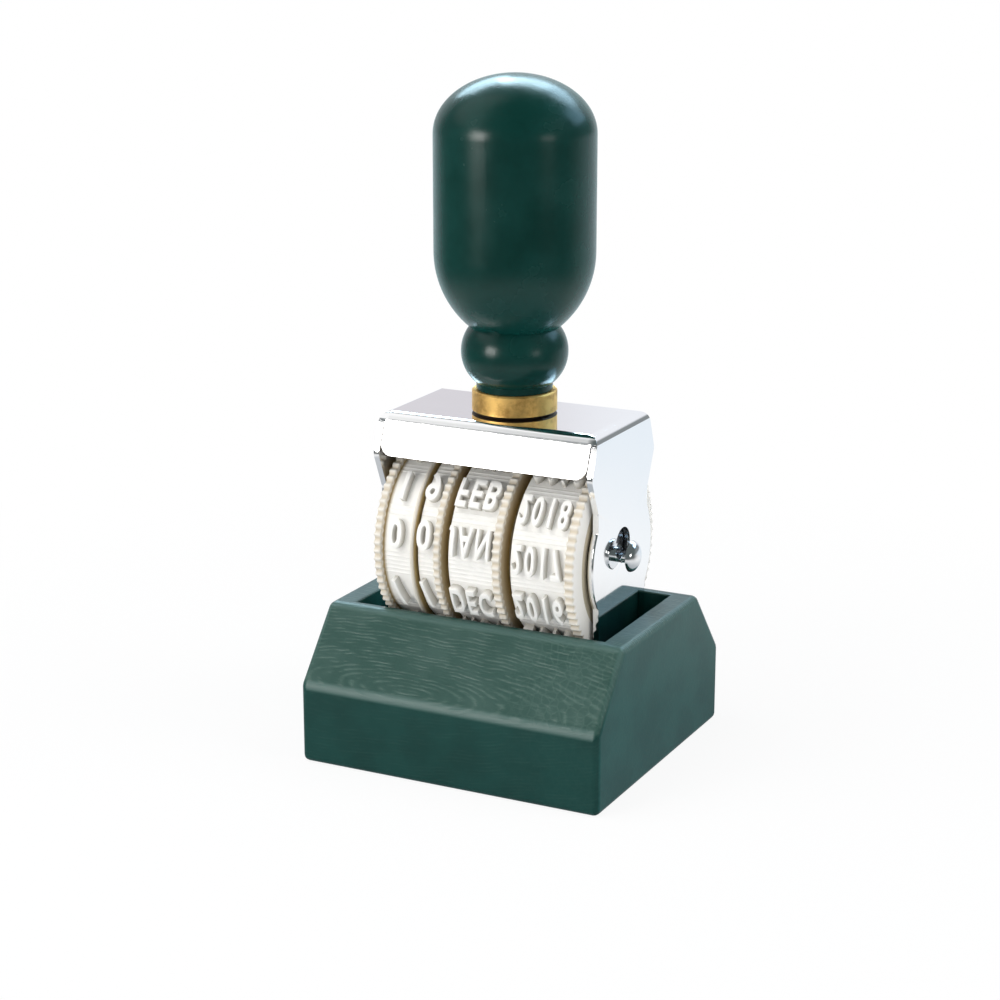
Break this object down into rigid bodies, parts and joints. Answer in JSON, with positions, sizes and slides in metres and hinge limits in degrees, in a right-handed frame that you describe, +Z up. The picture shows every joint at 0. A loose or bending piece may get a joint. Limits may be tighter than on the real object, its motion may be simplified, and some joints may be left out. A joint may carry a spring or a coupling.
{
  "type": "roller date stamp with stand",
  "caption": "Hand date stamp: turned wooden handle on a folded sheet frame with turning rubber date wheels, standing in the pocket of a sloped wooden stand.",
  "frame": {"origin": "middle of the stand's underside", "axes": "+Z up along the handle, +X along the wheels' axle towards the year wheel, front of the stamp towards -Y"},
  "size_m": [0.044, 0.0406, 0.0915],
  "materials": {
    "green_paint": "satin painted wood with faint grain",
    "plated_sheet": "mirror plated",
    "brass": "turned, lightly tarnished",
    "plated_pin": "bright plated",
    "steel": "dark oxidised steel",
    "wheel_core": "moulded, matte",
    "type_rubber": "moulded ivory rubber, matte"
  },
  "bodies": {
    "stand": {"stand_block": "green_paint"},
    "stamp": {"frame_saddle": "plated_sheet", "ferrule": "brass", "handle": "green_paint", "handle_screw": "steel", "screw_washer": "steel", "wheel_spring": "steel", "wheel_axle": "plated_pin", "spacer_left": "steel", "spacer_tens_units": "steel", "spacer_units_month": "steel", "spacer_month_year": "steel", "spacer_right": "steel"},
    "day_tens_wheel": {"day_tens_core": "wheel_core", "day_tens_band": "type_rubber"},
    "day_units_wheel": {"day_units_core": "wheel_core", "day_units_band": "type_rubber"},
    "month_wheel": {"month_core": "wheel_core", "month_band": "type_rubber"},
    "year_wheel": {"year_core": "wheel_core", "year_band": "type_rubber"}
  },
  "joints": [
    {"name": "stamp_lift", "type": "slide", "parent": "stand", "child": "stamp", "axis": [0, 0, 1], "range_m": [0, 0.045]},
    {"name": "day_tens_turn", "type": "hinge", "parent": "stamp", "child": "day_tens_wheel", "pos_m": [0, 0, 0.02885], "axis": [1, 0, 0], "continuous": true},
    {"name": "day_units_turn", "type": "hinge", "parent": "stamp", "child": "day_units_wheel", "pos_m": [0, 0, 0.02885], "axis": [1, 0, 0], "continuous": true},
    {"name": "month_turn", "type": "hinge", "parent": "stamp", "child": "month_wheel", "pos_m": [0, 0, 0.02885], "axis": [1, 0, 0], "continuous": true},
    {"name": "year_turn", "type": "hinge", "parent": "stamp", "child": "year_wheel", "pos_m": [0, 0, 0.02885], "axis": [1, 0, 0], "continuous": true}
  ]
}
